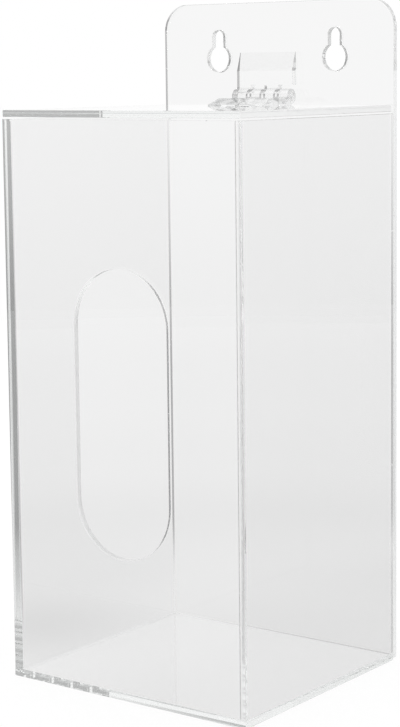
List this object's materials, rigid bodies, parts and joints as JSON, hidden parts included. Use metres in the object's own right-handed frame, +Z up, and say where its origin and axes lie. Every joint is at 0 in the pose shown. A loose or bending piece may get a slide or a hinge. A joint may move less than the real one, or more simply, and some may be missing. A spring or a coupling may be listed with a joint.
{
  "type": "disposable glove dispenser",
  "caption": "Wall-hung clear acrylic dispenser for a carton of disposable gloves, with an obround hand slot in front, a keyholed back plate and a lid on a clear butt hinge.",
  "frame": {"origin": "middle of the footprint, at the height of the bottom panel's underside", "axes": "+Z up, the front with the hand slot faces -Y, the wall is behind at +Y"},
  "size_m": [0.13, 0.121, 0.3058],
  "materials": {
    "sheet_acrylic": "clear polished acrylic sheet",
    "hinge_acrylic": "clear moulded acrylic"
  },
  "bodies": {
    "case": {"back_plate": "sheet_acrylic", "front_panel": "sheet_acrylic", "left_side_panel": "sheet_acrylic", "right_side_panel": "sheet_acrylic", "bottom_panel": "sheet_acrylic", "plate_hinge_leaf": "hinge_acrylic", "hinge_pin": "hinge_acrylic"},
    "lid": {"lid_panel": "sheet_acrylic", "lid_hinge_leaf": "hinge_acrylic"}
  },
  "joints": [
    {"name": "lid_hinge", "type": "hinge", "parent": "case", "child": "lid", "pos_m": [-0.0036, 0.0536, 0.2618], "axis": [-1, 0, 0], "range_deg": [0, 94]}
  ]
}
